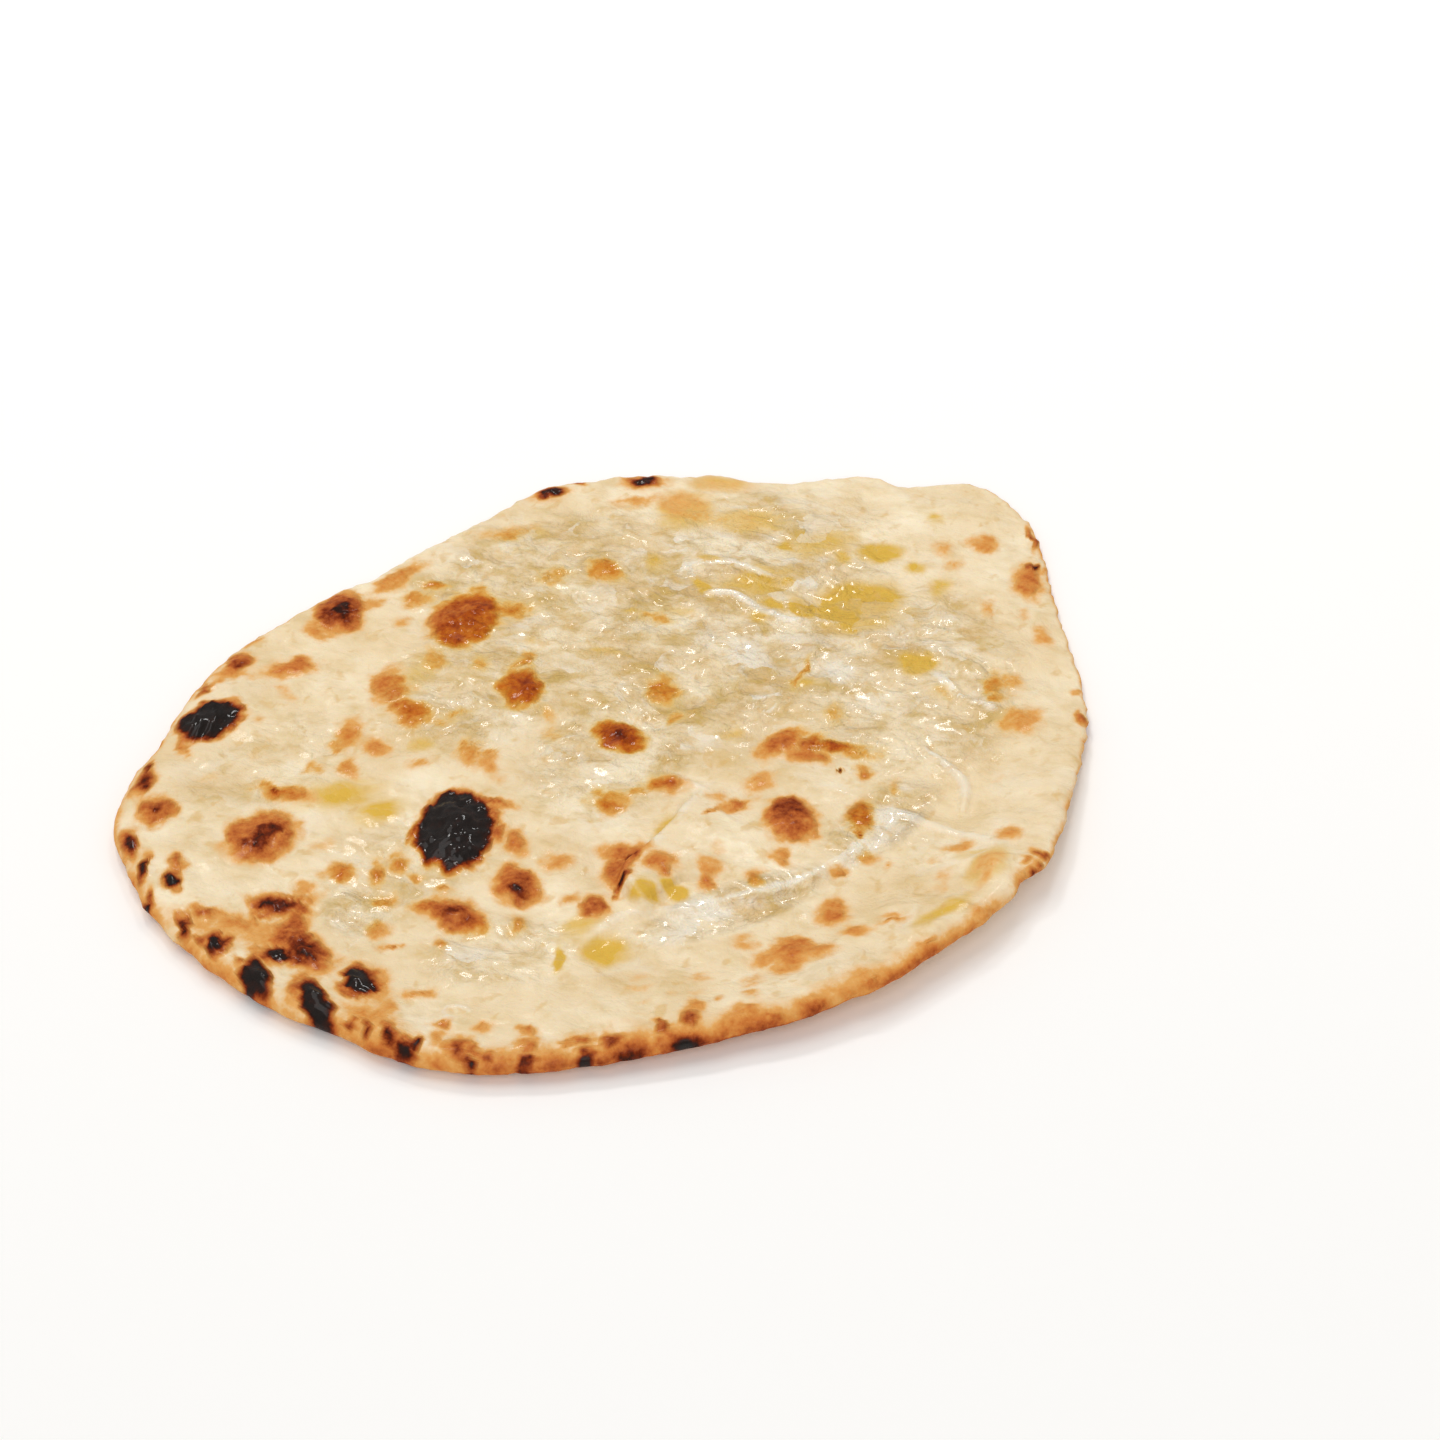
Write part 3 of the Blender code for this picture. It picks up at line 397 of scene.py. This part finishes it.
# a smooth line through given points
def curveThrough(points, closed, steps=8):
    places = np.array(points, float)
    count = len(places)
    filled = []
    for span in range(count if closed else count - 1):
        picks = [span - 1, span, span + 1, span + 2]
        held = [i % count if closed else min(max(i, 0), count - 1) for i in picks]
        before, start, end, after = places[held]
        for step in range(steps):
            t = step / steps
            bend = (2 * before - 5 * start + 4 * end - after) * t**2
            twist = (3 * start - before - 3 * end + after) * t**3
            filled.append((2 * start + (end - before) * t + bend + twist) / 2)
    if not closed:
        filled.append(places[-1])
    return np.array(filled)


edgeLine = curveThrough(bread["outline"], True)
middle = (edgeLine.min(axis=0) + edgeLine.max(axis=0)) / 2  # stands over the origin in the finished part


def reachOfEdge(direction):
    angles = np.degrees(np.arctan2(edgeLine[:, 1], edgeLine[:, 0]))
    return np.interp(direction, angles, np.hypot(edgeLine[:, 0], edgeLine[:, 1]), period=360)


def roundTheEdge(direction, stops):
    ring = curveThrough(stops + [(stops[0][0] + 360, stops[0][1])], False)
    return np.interp(direction, ring[:, 0], ring[:, 1], period=360)


# distance from the middle of an oval, 1 on its rim
def ovalDistance(x, y, oval):
    centreX, centreY, length, width, turn = oval
    cosine, sine = math.cos(math.radians(turn)), math.sin(math.radians(turn))
    along = (x - centreX) * cosine + (y - centreY) * sine
    across = (y - centreY) * cosine - (x - centreX) * sine
    return np.hypot(2 * along / length, 2 * across / width)


def dome(x, y, oval):
    return np.clip(1.0 - ovalDistance(x, y, oval) ** 2, 0.0, 1.0) ** 2


# signed distance from a line, positive on its left, and the share of the way along it
def besideLine(x, y, points):
    line = curveThrough(points, False)
    nearest = np.full(x.shape, np.inf)
    signed, share = np.zeros(x.shape), np.zeros(x.shape)
    for number in range(len(line) - 1):
        start, run = line[number], line[number + 1] - line[number]
        along = np.clip(((x - start[0]) * run[0] + (y - start[1]) * run[1]) / (run @ run), 0.0, 1.0)
        offX, offY = x - start[0] - along * run[0], y - start[1] - along * run[1]
        distance = np.hypot(offX, offY)
        closer = distance < nearest
        nearest = np.where(closer, distance, nearest)
        signed = np.where(closer, distance * np.sign(run[0] * offY - run[1] * offX), signed)
        share = np.where(closer, (number + along) / (len(line) - 1), share)
    return signed, share


def fadeEnds(share, ends):
    return ease(share / ends[0]) * ease((1.0 - share) / ends[1])


def creaseHeight(x, y, points, height, halfWidth):
    signed, share = besideLine(x, y, points)
    return height * np.exp(-((signed / halfWidth) ** 2)) * fadeEnds(share, bread["creaseEnds"])


# the height of a fold and how much painted highlight its lip gets at each place
def foldHeight(x, y, points, height, gentle, steep):
    signed, share = besideLine(x, y, points)
    signed = signed * math.copysign(1.0, height)
    slope = np.where(signed > 0.0, gentle, steep)
    fade = fadeEnds(share, bread["foldEnds"])
    lipHighlight = np.exp(-(((signed - bread["lipHighlightPlace"]) / bread["lipHighlightWidth"]) ** 2)) * fade
    return abs(height) * np.exp(-((signed / slope) ** 2)) * fade, lipHighlight


# cloudy noise from about -1 to 1 at each place, another slice of it for each seed
def cloud(x, y, size, seed, octaves=2):
    sliceGap = 7.3
    spots = np.column_stack([x / size, y / size, np.full(x.shape, seed * sliceGap)])
    return np.array([noise.fractal(Vector(spot), 1.0, 2.0, octaves) for spot in spots])


# places moved about by cloudy noise, with a seed for each direction
def strayed(x, y, amount, size, seeds):
    return x + amount * cloud(x, y, size, seeds[0]), y + amount * cloud(x, y, size, seeds[1])


# thin raised wrinkles, 0 to 1, longer along the grain
def wrinkles(x, y, size, seed, stretch=1.5):
    turn = math.radians(bread["grain"])
    along = (x * math.cos(turn) + y * math.sin(turn)) / stretch
    across = y * math.cos(turn) - x * math.sin(turn)
    ridges = cloud(along, across, size, seed) * bread["wrinkleSharpness"]
    return (1.0 - np.abs(np.clip(ridges, -1.0, 1.0))) ** 2


# the most that any of the ovals gives at each place
def mostOf(x, y, ovals, soft):
    found = np.zeros(x.shape)
    for *oval, amount in ovals:
        found = np.maximum(found, amount * ease((1.0 - ovalDistance(x, y, oval)) / soft))
    return found


# how far the skin is baked at each place on top
def bakedOnTop(x, y, direction, fromEdge):
    strayX, strayY = strayed(x, y, browning["wander"], browning["wanderSize"], (1, 3))
    fineX, fineY = strayed(x, y, browning["fineWander"], browning["fineWanderSize"], (2, 4))
    strayX, strayY = strayX + fineX - x, strayY + fineY - y
    heat = np.zeros(x.shape)
    pale, dark = browning["paleBorder"], browning["darkBorder"]
    for spot in browning["spots"] + browning["freckles"]:
        oval, baked = spot[:5], spot[5]
        radius = min(oval[2], oval[3]) / 2
        width = min(pale + (dark - pale) * baked, browning["borderShare"] * radius)
        inside = (1.0 - ovalDistance(strayX, strayY, oval)) * radius
        heat = np.maximum(heat, baked * ease(inside / width + 0.5))
    wander = 1.0 + browning["edgeWander"] * cloud(x, y, browning["edgeWanderSize"], 5)
    patches = 1.0 + browning["edgePatches"] * cloud(x, y, browning["edgePatchSize"], 6)
    reach = np.maximum(roundTheEdge(direction, browning["edgeReach"]) * wander, 0.5)
    inside = np.clip(1.0 - fromEdge / reach, 0.0, 1.0)
    rim = roundTheEdge(direction, browning["edgeHeat"]) * patches * inside ** browning["edgeFade"]
    return np.maximum(heat, rim)


def bakedBelow(x, y, direction, fromEdge):
    dice = random.Random(browning["seed"])
    strayX, strayY = strayed(x, y, browning["underWander"], browning["underWanderSize"], (7, 8))
    heat = browning["underHeat"] + browning["underPatches"] * cloud(x, y, browning["underPatchSize"], 9)
    for _ in range(browning["underSpots"]):
        way = dice.uniform(0, 360)
        out = math.sqrt(dice.uniform(0.02, 0.95)) * float(reachOfEdge(way))
        size = dice.uniform(*browning["underSizes"])
        oval = (out * math.cos(math.radians(way)), out * math.sin(math.radians(way)),
                size, size * dice.uniform(*browning["underNarrowing"]), dice.uniform(0, 180))
        baked = dice.choice(browning["underBaked"])
        inside = (1.0 - ovalDistance(strayX, strayY, oval)) * size / 2
        heat = np.maximum(heat, baked * ease(inside / browning["underBorder"] + 0.35))
    inside = np.clip(1.0 - fromEdge / browning["edgeWrap"], 0.0, 1.0)
    return np.maximum(heat, roundTheEdge(direction, browning["edgeHeat"]) * inside)


# cube corners to directions, shares of the way out to the edge, and which of them lie on top
def spreadOut(corners):
    x, y, z = corners.T
    ring = np.maximum(np.abs(x), np.abs(y))
    safe = np.maximum(ring, 1e-9)
    wideX = np.abs(x) >= np.abs(y)
    across = np.where(wideX, y / np.where(wideX, np.where(x == 0, safe, x), 1), 0.0)
    upright = np.where(~wideX, x / np.where(~wideX, np.where(y == 0, safe, y), 1), 0.0)
    sideways = across * 45 + np.where(x < 0, 180, 0)
    direction = np.where(wideX, sideways, 90 - upright * 45 + np.where(y < 0, 180, 0))
    edgeAt = bread["edgeRow"] / bread["cells"]
    row = (1.0 - z) / 2
    outward = np.clip(row / edgeAt, 0.0, 1.0)
    inward = np.clip((row - edgeAt) / (1.0 - edgeAt), 0.0, 1.0)
    top, under = bread["topShare"], bread["underShare"]
    upper = top + (1.0 - top) * (1.0 - (1.0 - outward) ** bread["topSpread"])
    lower = 1.0 - (1.0 - under) * inward ** bread["underSpread"]
    share = np.where(row <= edgeAt, upper, lower)
    share = np.where(z > 0.9999, top * ring, np.where(z < -0.9999, under * ring, share))
    return direction, share, row <= edgeAt + 1e-6


def shapeBread(corners):
    direction, share, onTop = spreadOut(corners)
    smoothReach = reachOfEdge(direction)
    cosine, sine = np.cos(np.radians(direction)), np.sin(np.radians(direction))
    edgeX, edgeY = smoothReach * cosine, smoothReach * sine
    atEdge = roundTheEdge(direction, bread["edgeThickness"])
    thinness = np.clip((bread["smoothEdge"] - atEdge) / 3.0, 0.3, 1.0)
    notches = thinness * cloud(edgeX, edgeY, bread["fineRaggedSize"], 11)
    ragged = bread["ragged"] * (cloud(edgeX, edgeY, bread["raggedSize"], 10, 3) + notches)
    reach = smoothReach + ragged * share**6
    x, y = share * reach * cosine, share * reach * sine
    fromEdge = (1.0 - share) * reach

    heatAbove = bakedOnTop(x, y, direction, fromEdge)
    wrapped = heatAbove * (1.0 - ease(fromEdge / browning["edgeWrap"]))
    heatBelow = np.maximum(bakedBelow(x, y, direction, fromEdge), wrapped)
    heat = np.where(onTop, heatAbove, heatBelow)
    soaked = mostOf(x, y, butter["soaked"], butter["soakedSoftness"]) * onTop
    patches = butter["patches"] * cloud(x, y, butter["patchSize"], 12)
    soaked = np.clip(soaked + soaked * patches, 0.0, 1.0)
    spreadX, spreadY = strayed(x, y, butter["wander"], butter["wanderSize"], (13, 14))
    # butter pools, with two ovals of painted shade beside the folds
    pooled = mostOf(spreadX, spreadY, butter["poolsAndShade"], butter["poolSoftness"]) * onTop

    relief = np.zeros(x.shape)
    for *oval, rise in bread["swells"]:
        relief += rise * dome(x, y, oval)
    lipHighlights = np.zeros(x.shape)
    for fold in bread["folds"]:
        rise, lipHighlight = foldHeight(x, y, *fold)
        relief += rise
        lipHighlights = np.maximum(lipHighlights, lipHighlight)
    for spotX, spotY, length, width, turn, _, rise in browning["spots"]:
        spread = browning["blisterSpread"]
        relief += rise * dome(x, y, (spotX, spotY, length * spread, width * spread, turn))
    starts, fully = browning["scorched"]
    scorch = ease((heat - starts) / (fully - starts))
    relief += bread["dimple"] * cloud(x, y, bread["dimpleSize"], 15, 3)
    relief += bread["crackle"] * scorch * (wrinkles(x, y, bread["crackleSize"], 16, 1.0) - 0.5)
    for crease in bread["creases"]:
        rise = creaseHeight(x, y, *crease)
        relief += rise
        # raised creases add a painted highlight along their line
        lipHighlights = np.maximum(lipHighlights, np.clip(rise * 1.4, 0.0, 1.0))
    bentX, bentY = strayed(x, y, bread["wrinkleBend"], bread["wrinkleBendSize"], (17, 18))
    crumpled = wrinkles(bentX, bentY, bread["wrinkleSize"], 19)
    patchy = 0.3 + 0.7 * ease(0.5 + 1.1 * cloud(x, y, bread["smoothPatchSize"], 22))
    patchy *= (1.0 - 0.5 * pooled) * (1.0 - scorch)  # smoother under butter and under the painted shade beside the folds, and none where scorched
    relief += bread["wrinkle"] * (0.25 + 0.75 * soaked) * patchy * (crumpled - 0.4)

    thickness = atEdge + (bread["crumb"] - atEdge) * ease(fromEdge / bread["edgeBlend"])
    outer = (share - bread["liftStart"]) / (1.0 - bread["liftStart"])
    underside = roundTheEdge(direction, bread["edgeLift"]) * ease(outer) ** 2
    rounding = np.clip(fromEdge / (bread["edgeRound"] * atEdge), 0.0, 1.0)
    fullness = np.sqrt(1.0 - (1.0 - rounding) ** 2)
    above = fullness * (thickness / 2 + relief * ease(fromEdge / bread["reliefStart"]))
    hollows = np.clip(cloud(x, y, bread["underHollowSize"], 21, 3), 0.0, 1.0) * bread["underHollow"]
    below = fullness * (thickness / 2 - hollows)
    z = underside + thickness / 2 + np.where(onTop, above, -below)
    places = np.column_stack([x - middle[0], y - middle[1], z]) * mm
    # pale film with painted sheen, plus the painted highlights along fold lips and creases
    milky = mostOf(spreadX, spreadY, butter["milky"], butter["filmAndSheenSoftness"])
    milky = np.maximum(milky, lipHighlights * 1.2) * onTop
    looks = {"browned": heat, "soaked": soaked, "pooled": pooled, "milky": milky}
    return places, {**looks, "onTop": onTop * 1.0}


# the top fills the upper three quarters of the map and the underside the rest
def layMap(mesh, places, onTop):
    low, high = places.min(axis=0), places.max(axis=0)
    flat = (places[:, :2] - low[:2]) / (high[:2] - low[:2])
    ends = np.empty(len(mesh.loops), np.int32)
    mesh.loops.foreach_get("vertex_index", ends)
    sides = np.repeat([onTop[list(face.vertices)].mean() >= 0.5 for face in mesh.polygons], 4)
    margin, split = 0.01, 0.25
    upper = split + (1.0 - split - margin) * flat[ends, 1]
    lower = margin + (split - 3 * margin) * flat[ends, 1]
    u, v = margin + (1.0 - 2 * margin) * flat[ends, 0], np.where(sides, upper, lower)
    laid = mesh.uv_layers.new(name="OFBake")
    laid.data.foreach_set("uv", np.column_stack([u, v]).astype(np.float32).ravel())


def makeBread(crust):
    model = bmesh.new()
    bmesh.ops.create_cube(model, size=2.0)
    bmesh.ops.subdivide_edges(model, edges=model.edges[:], cuts=bread["cells"] - 1, use_grid_fill=True)
    mesh = bpy.data.meshes.new("naanBread")
    model.to_mesh(mesh)
    model.free()
    corners = np.empty(len(mesh.vertices) * 3, np.float32)
    mesh.vertices.foreach_get("co", corners)
    places, looks = shapeBread(corners.reshape(-1, 3).astype(float))
    mesh.vertices.foreach_set("co", places.astype(np.float32).ravel())
    for name, values in looks.items():
        layer = mesh.attributes.new(name, "FLOAT", "POINT")
        layer.data.foreach_set("value", values.astype(np.float32))
    layMap(mesh, places, looks["onTop"])
    mesh.shade_smooth()
    mesh.materials.append(crust)
    mesh.update()
    made = bpy.data.objects.new("naanBread", mesh)
    bpy.context.collection.objects.link(made)
    return made


def colour(red, green, blue):
    def linear(value):
        value = value / 255
        return value / 12.92 if value <= 0.04045 else ((value + 0.055) / 1.055) ** 2.4
    return (linear(red), linear(green), linear(blue), 1.0)


# One output of a shader node. Sums on it add Math nodes.
class Flow:
    def __init__(self, tree, socket=None):
        self.tree, self.socket = tree, socket

    def node(self, kind, settings, sockets, output=0):
        made = self.tree.nodes.new(kind)
        for name, value in settings.items():
            if name == "stops":
                ramp = made.color_ramp
                while len(ramp.elements) < len(value):
                    ramp.elements.new(1.0)
                for stop, (place, tint) in zip(ramp.elements, value):
                    stop.position, stop.color = place, tint
            else:
                setattr(made, name, value)
        for name, value in sockets.items():
            if isinstance(value, Flow):
                self.tree.links.new(value.socket, made.inputs[name])
            else:
                made.inputs[name].default_value = value
        return Flow(self.tree, made.outputs[output])

    def sum(self, operation, first, second, clamp=False):
        settings = {"operation": operation, "use_clamp": clamp}
        return self.node("ShaderNodeMath", settings, {0: first, 1: second})

    def __add__(self, other):
        return self.sum("ADD", self, other)

    def __radd__(self, other):
        return self.sum("ADD", other, self)

    def __sub__(self, other):
        return self.sum("SUBTRACT", self, other)

    def __rsub__(self, other):
        return self.sum("SUBTRACT", other, self)

    def __mul__(self, other):
        return self.sum("MULTIPLY", self, other)

    def __rmul__(self, other):
        return self.sum("MULTIPLY", other, self)

    def clamped(self):
        return self.sum("ADD", self, 0.0, clamp=True)


crustLook = {
    "dough": colour(251, 235, 203),
    "doughShade": colour(234, 208, 164),
    "soakedDough": colour(216, 183, 127),
    "olive": colour(204, 170, 92),
    "tan": colour(218, 174, 98),
    # pale film, also the colour of the painted sheen and highlights
    "milky": colour(248, 237, 216),
    # butter yellow, also used as painted shade in two hollows beside the folds
    "poolAndShade": colour(223, 180, 72),
    "poolDeep": colour(212, 168, 58),
    # what baking turns the dough to, from untouched to char
    "baked": [
        (0.0, colour(238, 212, 160)), (0.14, colour(234, 200, 128)), (0.28, colour(225, 172, 84)),
        (0.42, colour(212, 138, 42)), (0.54, colour(198, 106, 14)), (0.66, colour(172, 75, 4)),
        (0.77, colour(132, 45, 3)), (0.89, colour(54, 23, 13)), (1.0, colour(27, 19, 15)),
    ],
    "peach": colour(232, 168, 112),
    # sizes of the patterns in the skin
    "broadSize": 24.0,
    "patchSize": 9.0,
    "filmSize": 9.0,
    "veinSize": 6.0,
    "fleckSize": 5.0,
    "fineSize": 3.4,
    "tinySize": 1.3,
    "grainSquash": 0.7,  # below 1 draws the patterns out along the grain
    # crumpled facets in the wet film, as so many to a metre
    "facets": 170.0,
    "scraps": 110.0,
    "bends": 160.0,
    "bend": 10.0,  # how far the bends push the facets about
    "bumpHeight": 1.3,  # of the finest wrinkles
    "dryRoughness": 0.6,
    "soakedRoughness": 0.36,
    "coatRoughness": 0.09,
    "specular": 0.08,
    "subsurface": 0.12,
    "subsurfaceRadius": (0.004, 0.0022, 0.001),  # metres
}


def crustMaterial():
    look = crustLook
    material = bpy.data.materials.new("bakedCrust")
    material.use_nodes = True
    tree = material.node_tree
    shader = tree.nodes["Principled BSDF"]
    flow = Flow(tree)

    def layer(name):
        return flow.node("ShaderNodeAttribute", {"attribute_name": name}, {}, "Fac")

    def blend(share, first, second):
        sockets = {"Factor": share, 6: first, 7: second}
        return flow.node("ShaderNodeMix", {"data_type": "RGBA"}, sockets, 2)

    place = flow.node("ShaderNodeTexCoord", {}, {}, "Object")
    turn, squash = math.radians(-bread["grain"]), (look["grainSquash"], 1.0, 1.0)
    turned = flow.node("ShaderNodeMapping", {}, {"Vector": place, "Rotation": (0, 0, turn)})
    grain = flow.node("ShaderNodeVectorMath", {"operation": "MULTIPLY"}, {0: turned, 1: squash})

    def mottle(size, detail=3.0, rough=0.55, over=place, twist=0.0):
        sockets = {"Vector": over, "Scale": 1.0 / (size * mm), "Detail": detail}
        sockets.update({"Roughness": rough, "Distortion": twist})
        return flow.node("ShaderNodeTexNoise", {}, sockets, "Fac")

    heat, soaked, pooled = layer("browned"), layer("soaked"), layer("pooled")
    pale = layer("milky")
    broad, patch = mottle(look["broadSize"]), mottle(look["patchSize"], 4.0, 0.6, grain)
    fine, tiny = mottle(look["fineSize"]), mottle(look["tinySize"])
    film = mottle(look["filmSize"], 5.0, 0.6, grain, 1.2)
    veins = mottle(look["veinSize"], 4.0, 0.6, grain, 1.6)
    flecks = mottle(look["fleckSize"], 2.0, 0.5, place, 0.4)
    bends = {"Vector": place, "Scale": look["bends"], "Detail": 4.0}
    bends = flow.node("ShaderNodeTexNoise", {}, bends, "Color")
    push = (look["bend"] * mm, look["bend"] * mm, 0.0)
    bent = flow.node("ShaderNodeVectorMath", {"operation": "MULTIPLY_ADD"}, {0: bends, 1: push, 2: grain})
    facets = flow.node("ShaderNodeTexVoronoi", {}, {"Vector": bent, "Scale": look["facets"]}, "Distance")
    scraps = flow.node("ShaderNodeTexVoronoi", {}, {"Vector": bent, "Scale": look["scraps"]}, "Color")

    # in a mask the factor sets how sharp its border is, and the number taken off how much it leaves bare
    wet = 0.3 + 0.7 * soaked
    dough = blend((broad * 2.6 - 0.8).clamped(), look["dough"], look["doughShade"])
    dough = blend((wet * (patch * 5.0 - 2.1)).clamped(), dough, look["soakedDough"])
    # butter stands in the hollows between the wrinkles
    hollow = (facets * 2.4 + veins * 5.0 - 3.5).clamped() * wet
    dough = blend(hollow * (patch * 3.0 - 0.9).clamped() * 0.8, dough, look["olive"])
    # standing butter, deeper yellow where it is deepest; the same yellow paints shade in two hollows
    # beside the folds
    dough = blend((pooled * 2.5 + (film - 0.5) * pooled * 6.0).clamped(), dough, look["poolAndShade"])
    dough = blend((pooled * 1.9 + film * 3.0 - 2.4).clamped() * 0.75, dough, look["poolDeep"])
    # pale film lifted off the crumb, partly painted sheen and highlights where the wet skin, fold lips
    # and creases would catch the light
    filmAndSheenMask = (scraps * 2.6 + film * 4.0 - 3.6 + pale * 1.3).clamped() * (wet * 0.6 + pale * 0.3).clamped()
    dough = blend(filmAndSheenMask * (1.0 - 0.8 * pooled), dough, look["milky"])
    # small tan flecks everywhere
    dough = blend((flecks * 9.0 - 5.4).clamped() * 0.45, dough, look["tan"])
    # browning, broken up between dough and char, and pinker where the skin is dry and lightly baked
    uneven = (heat + heat * (1.12 - heat) * (fine * 1.5 + tiny * 0.9 - 1.2)).clamped()
    baked = flow.node("ShaderNodeValToRGB", {"stops": look["baked"]}, {"Fac": uneven}, "Color")
    baked = blend(((1.0 - soaked) * (1.0 - uneven) * 0.8 - 0.15).clamped(), baked, look["peach"])
    surface = blend((uneven * 4.0 - 0.12).clamped(), dough, baked)
    tree.links.new(surface.socket, shader.inputs["Base Color"])

    rough = look["dryRoughness"] - soaked * (look["dryRoughness"] - look["soakedRoughness"])
    rough = rough + 0.2 * fine - 0.1 - 0.1 * filmAndSheenMask + 0.12 * heat
    tree.links.new(rough.socket, shader.inputs["Roughness"])
    # butter and film shine, browned skin hardly does, char does again
    coat = (soaked * 0.3 + pooled * 0.3 + filmAndSheenMask * 0.5) * (1.0 - 0.95 * heat) + 0.05
    coat = (coat + (heat * 4.0 - 3.3).clamped() * 0.4).clamped()
    tree.links.new(coat.socket, shader.inputs["Coat Weight"])
    shader.inputs["Coat Roughness"].default_value = look["coatRoughness"]
    shader.inputs["Specular IOR Level"].default_value = look["specular"]
    shader.inputs["Subsurface Weight"].default_value = look["subsurface"]
    shader.inputs["Subsurface Radius"].default_value = look["subsurfaceRadius"]
    shader.inputs["Subsurface Scale"].default_value = 1.0

    skin = facets * 1.1 + film * 1.6 + veins * 0.8 + fine * 0.4 + tiny * 0.1
    height = skin * (0.35 + 0.65 * soaked + 0.5 * (heat * 1.6 - 0.5).clamped())
    bump = {"Strength": 1.0, "Distance": look["bumpHeight"] * mm, "Height": height}
    bump = flow.node("ShaderNodeBump", {}, bump, "Normal")
    tree.links.new(bump.socket, shader.inputs["Normal"])
    return material


naanBread = makeBread(crustMaterial())
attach(naanBread, "root")
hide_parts("naan")
print("bread shaped")

studio = {
    "floor": colour(255, 254, 252),
    "floorSize": 12.0,  # metres, as are the lights' places
    "floorRoughness": 0.9,
    "floorSpecular": 0.1,
    "sky": 0.46,  # white light from all round
    # the two small lights behind make the butter shine, and the two suns light the floor evenly:
    # kind, place, size (metres, or degrees for a sun), power (watts, or watts on a square metre), tint
    "lights": {
        "windowLight": ("AREA", (0.26, 0.78, 1.16), 0.2, 2.6, (1.0, 0.99, 0.97)),
        "glintLight": ("AREA", (0.72, 0.5, 1.12), 0.16, 1.6, (1.0, 1.0, 1.0)),
        "topLight": ("SUN", (-0.12, 0.4, 1.35), 35.0, 0.6, (1.0, 1.0, 1.0)),
        "fillLight": ("SUN", (-0.75, -0.75, 1.0), 42.0, 0.92, (1.0, 0.98, 0.96)),
    },
}


def makeFloor():
    model = bmesh.new()
    bmesh.ops.create_grid(model, x_segments=1, y_segments=1, size=studio["floorSize"] / 2)
    mesh = bpy.data.meshes.new("floor")
    model.to_mesh(mesh)
    model.free()
    material = bpy.data.materials.new("paleFloor")
    material.use_nodes = True
    shader = material.node_tree.nodes["Principled BSDF"]
    shader.inputs["Base Color"].default_value = studio["floor"]
    shader.inputs["Roughness"].default_value = studio["floorRoughness"]
    shader.inputs["Specular IOR Level"].default_value = studio["floorSpecular"]
    mesh.materials.append(material)
    made = bpy.data.objects.new("floor", mesh)
    bpy.context.collection.objects.link(made)


# a light that points at the middle of the bread
def makeLight(name, kind, place, size, power, tint):
    lamp = bpy.data.lights.new(name, kind)
    lamp.energy, lamp.color = power, tint
    if kind == "SUN":
        lamp.angle = math.radians(size)
    else:
        lamp.shape, lamp.size = "DISK", size
    made = bpy.data.objects.new(name, lamp)
    made.location = place
    made.rotation_euler = (-Vector(place)).to_track_quat("-Z", "Y").to_euler()
    bpy.context.collection.objects.link(made)


makeFloor()
for name, light in studio["lights"].items():
    makeLight(name, *light)

world = bpy.data.worlds.new("studioSky")
world.use_nodes = True
sky = world.node_tree.nodes["Background"]
sky.inputs["Color"].default_value = (1.0, 1.0, 1.0, 1.0)
sky.inputs["Strength"].default_value = studio["sky"]
bpy.context.scene.world = world
bpy.context.scene.view_settings.view_transform = "Standard"

camera = {
    "lens": 74.6,
    "sensor": 36.0,
    "nearest": 0.01,  # metres, as are the next two
    "lookAt": (0.0164, -0.0024),
    "distance": 0.7878,
    "azimuth": -40.0,
    "elevation": 40.63,
}


def makeCamera():
    across, along = camera["lookAt"]
    target = Vector((across - middle[0] * mm, along - middle[1] * mm, 0.0))
    azimuth, elevation = math.radians(camera["azimuth"]), math.radians(camera["elevation"])
    flat = math.cos(elevation)
    back = Vector((math.sin(azimuth) * flat, -math.cos(azimuth) * flat, math.sin(elevation)))
    lens = bpy.data.cameras.new("camera")
    lens.lens, lens.sensor_width, lens.clip_start = camera["lens"], camera["sensor"], camera["nearest"]
    made = bpy.data.objects.new("camera", lens)
    made.location = target + back * camera["distance"]
    made.rotation_euler = (-back).to_track_quat("-Z", "Y").to_euler()
    bpy.context.collection.objects.link(made)
    bpy.context.scene.camera = made


makeCamera()
print("studio ready")
